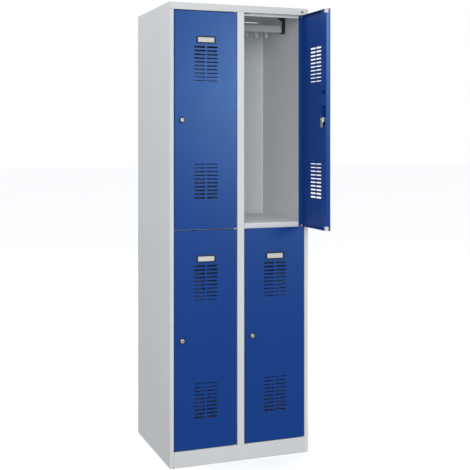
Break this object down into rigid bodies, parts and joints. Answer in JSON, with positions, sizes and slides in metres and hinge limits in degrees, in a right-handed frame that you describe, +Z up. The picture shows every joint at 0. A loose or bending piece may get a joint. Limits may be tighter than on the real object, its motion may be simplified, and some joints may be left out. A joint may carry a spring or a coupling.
{
  "type": "locker cabinet",
  "caption": "Free-standing steel locker cabinet with hinged, vented and lockable doors, a clothes rail with sliding hooks in each compartment, and one door standing open.",
  "frame": {"origin": "on the floor, under the centre of the box round the whole cabinet with its upper right door standing open at a right angle", "axes": "+X to the right seen from the front, +Y from the front to the back, +Z up"},
  "size_m": [0.6, 0.749, 1.85],
  "materials": {
    "body_paint": "light grey powder coat, satin",
    "door_paint": "deep blue powder coat, satin",
    "zinc": "bright zinc plated",
    "rail_metal": "satin grey",
    "black_plastic": "satin black",
    "grey_plastic": "light grey, satin",
    "white_plastic": "off-white, satin",
    "label_plastic": "dark frame round a label window",
    "card": "blank white card"
  },
  "bodies": {
    "cabinet": {"left_side_panel": "body_paint", "right_side_panel": "body_paint", "centre_divider": "body_paint", "top_panel": "body_paint", "base_panel": "body_paint", "back_panel": "body_paint", "left_shelf": "body_paint", "right_shelf": "body_paint", "lower_left_rail": "rail_metal", "lower_left_rail_bracket_left": "black_plastic", "lower_left_rail_bracket_right": "black_plastic", "lower_right_rail": "rail_metal", "lower_right_rail_bracket_left": "black_plastic", "lower_right_rail_bracket_right": "black_plastic", "upper_left_rail": "rail_metal", "upper_left_rail_bracket_left": "black_plastic", "upper_left_rail_bracket_right": "black_plastic", "upper_right_rail": "rail_metal", "upper_right_rail_bracket_left": "black_plastic", "upper_right_rail_bracket_right": "black_plastic"},
    "lower_left_hook_1": {"lower_left_hook_1": "grey_plastic"},
    "lower_left_hook_2": {"lower_left_hook_2": "grey_plastic"},
    "lower_left_hook_3": {"lower_left_hook_3": "grey_plastic"},
    "lower_left_door": {"lower_left_door_panel": "door_paint", "lower_left_label_frame": "label_plastic", "lower_left_label_card": "card", "lower_left_lock_body": "black_plastic", "lower_left_buffer_top": "white_plastic", "lower_left_buffer_bottom": "white_plastic"},
    "lower_left_lock": {"lower_left_lock_plug": "zinc"},
    "lower_right_hook_1": {"lower_right_hook_1": "grey_plastic"},
    "lower_right_hook_2": {"lower_right_hook_2": "grey_plastic"},
    "lower_right_hook_3": {"lower_right_hook_3": "grey_plastic"},
    "lower_right_door": {"lower_right_door_panel": "door_paint", "lower_right_label_frame": "label_plastic", "lower_right_label_card": "card", "lower_right_lock_body": "black_plastic", "lower_right_buffer_top": "white_plastic", "lower_right_buffer_bottom": "white_plastic"},
    "lower_right_lock": {"lower_right_lock_plug": "zinc"},
    "upper_left_hook_1": {"upper_left_hook_1": "grey_plastic"},
    "upper_left_hook_2": {"upper_left_hook_2": "grey_plastic"},
    "upper_left_hook_3": {"upper_left_hook_3": "grey_plastic"},
    "upper_left_door": {"upper_left_door_panel": "door_paint", "upper_left_label_frame": "label_plastic", "upper_left_label_card": "card", "upper_left_lock_body": "black_plastic", "upper_left_buffer_top": "white_plastic", "upper_left_buffer_bottom": "white_plastic"},
    "upper_left_lock": {"upper_left_lock_plug": "zinc"},
    "upper_right_hook_1": {"upper_right_hook_1": "grey_plastic"},
    "upper_right_hook_2": {"upper_right_hook_2": "grey_plastic"},
    "upper_right_hook_3": {"upper_right_hook_3": "grey_plastic"},
    "upper_right_door": {"upper_right_door_panel": "door_paint", "upper_right_label_frame": "label_plastic", "upper_right_label_card": "card", "upper_right_lock_body": "black_plastic", "upper_right_buffer_top": "white_plastic", "upper_right_buffer_bottom": "white_plastic"},
    "upper_right_lock": {"upper_right_lock_plug": "zinc"}
  },
  "joints": [
    {"name": "lower_left_hook_1_slide", "type": "slide", "parent": "cabinet", "child": "lower_left_hook_1", "axis": [1, 0, 0], "range_m": [-0.094, 0.018]},
    {"name": "lower_left_hook_2_slide", "type": "slide", "parent": "cabinet", "child": "lower_left_hook_2", "axis": [1, 0, 0], "range_m": [-0.018, 0.018]},
    {"name": "lower_left_hook_3_slide", "type": "slide", "parent": "cabinet", "child": "lower_left_hook_3", "axis": [1, 0, 0], "range_m": [-0.018, 0.063]},
    {"name": "lower_left_door_swing", "type": "hinge", "parent": "cabinet", "child": "lower_left_door", "pos_m": [-0.025, -0.118, 0.503], "axis": [0, 0, 1], "range_deg": [0, 105]},
    {"name": "lower_left_lock_turn", "type": "hinge", "parent": "lower_left_door", "child": "lower_left_lock", "pos_m": [-0.2505, -0.118, 0.503], "axis": [0, 1, 0], "range_deg": [0, 90]},
    {"name": "lower_right_hook_1_slide", "type": "slide", "parent": "cabinet", "child": "lower_right_hook_1", "axis": [1, 0, 0], "range_m": [-0.093, 0.018]},
    {"name": "lower_right_hook_2_slide", "type": "slide", "parent": "cabinet", "child": "lower_right_hook_2", "axis": [1, 0, 0], "range_m": [-0.018, 0.018]},
    {"name": "lower_right_hook_3_slide", "type": "slide", "parent": "cabinet", "child": "lower_right_hook_3", "axis": [1, 0, 0], "range_m": [-0.018, 0.064]},
    {"name": "lower_right_door_swing", "type": "hinge", "parent": "cabinet", "child": "lower_right_door", "pos_m": [0.274, -0.118, 0.503], "axis": [0, 0, 1], "range_deg": [0, 105]},
    {"name": "lower_right_lock_turn", "type": "hinge", "parent": "lower_right_door", "child": "lower_right_lock", "pos_m": [0.0485, -0.118, 0.503], "axis": [0, 1, 0], "range_deg": [0, 90]},
    {"name": "upper_left_hook_1_slide", "type": "slide", "parent": "cabinet", "child": "upper_left_hook_1", "axis": [1, 0, 0], "range_m": [-0.094, 0.018]},
    {"name": "upper_left_hook_2_slide", "type": "slide", "parent": "cabinet", "child": "upper_left_hook_2", "axis": [1, 0, 0], "range_m": [-0.018, 0.018]},
    {"name": "upper_left_hook_3_slide", "type": "slide", "parent": "cabinet", "child": "upper_left_hook_3", "axis": [1, 0, 0], "range_m": [-0.018, 0.063]},
    {"name": "upper_left_door_swing", "type": "hinge", "parent": "cabinet", "child": "upper_left_door", "pos_m": [-0.025, -0.118, 1.381], "axis": [0, 0, 1], "range_deg": [0, 105]},
    {"name": "upper_left_lock_turn", "type": "hinge", "parent": "upper_left_door", "child": "upper_left_lock", "pos_m": [-0.2505, -0.118, 1.381], "axis": [0, 1, 0], "range_deg": [0, 90]},
    {"name": "upper_right_hook_1_slide", "type": "slide", "parent": "cabinet", "child": "upper_right_hook_1", "axis": [1, 0, 0], "range_m": [-0.093, 0.018]},
    {"name": "upper_right_hook_2_slide", "type": "slide", "parent": "cabinet", "child": "upper_right_hook_2", "axis": [1, 0, 0], "range_m": [-0.018, 0.018]},
    {"name": "upper_right_hook_3_slide", "type": "slide", "parent": "cabinet", "child": "upper_right_hook_3", "axis": [1, 0, 0], "range_m": [-0.018, 0.064]},
    {"name": "upper_right_door_swing", "type": "hinge", "parent": "cabinet", "child": "upper_right_door", "pos_m": [0.274, -0.118, 1.381], "axis": [0, 0, 1], "range_deg": [-90, 15]},
    {"name": "upper_right_lock_turn", "type": "hinge", "parent": "upper_right_door", "child": "upper_right_lock", "pos_m": [0.274, -0.3435, 1.381], "axis": [-1, 0, 0], "range_deg": [0, 90]}
  ]
}
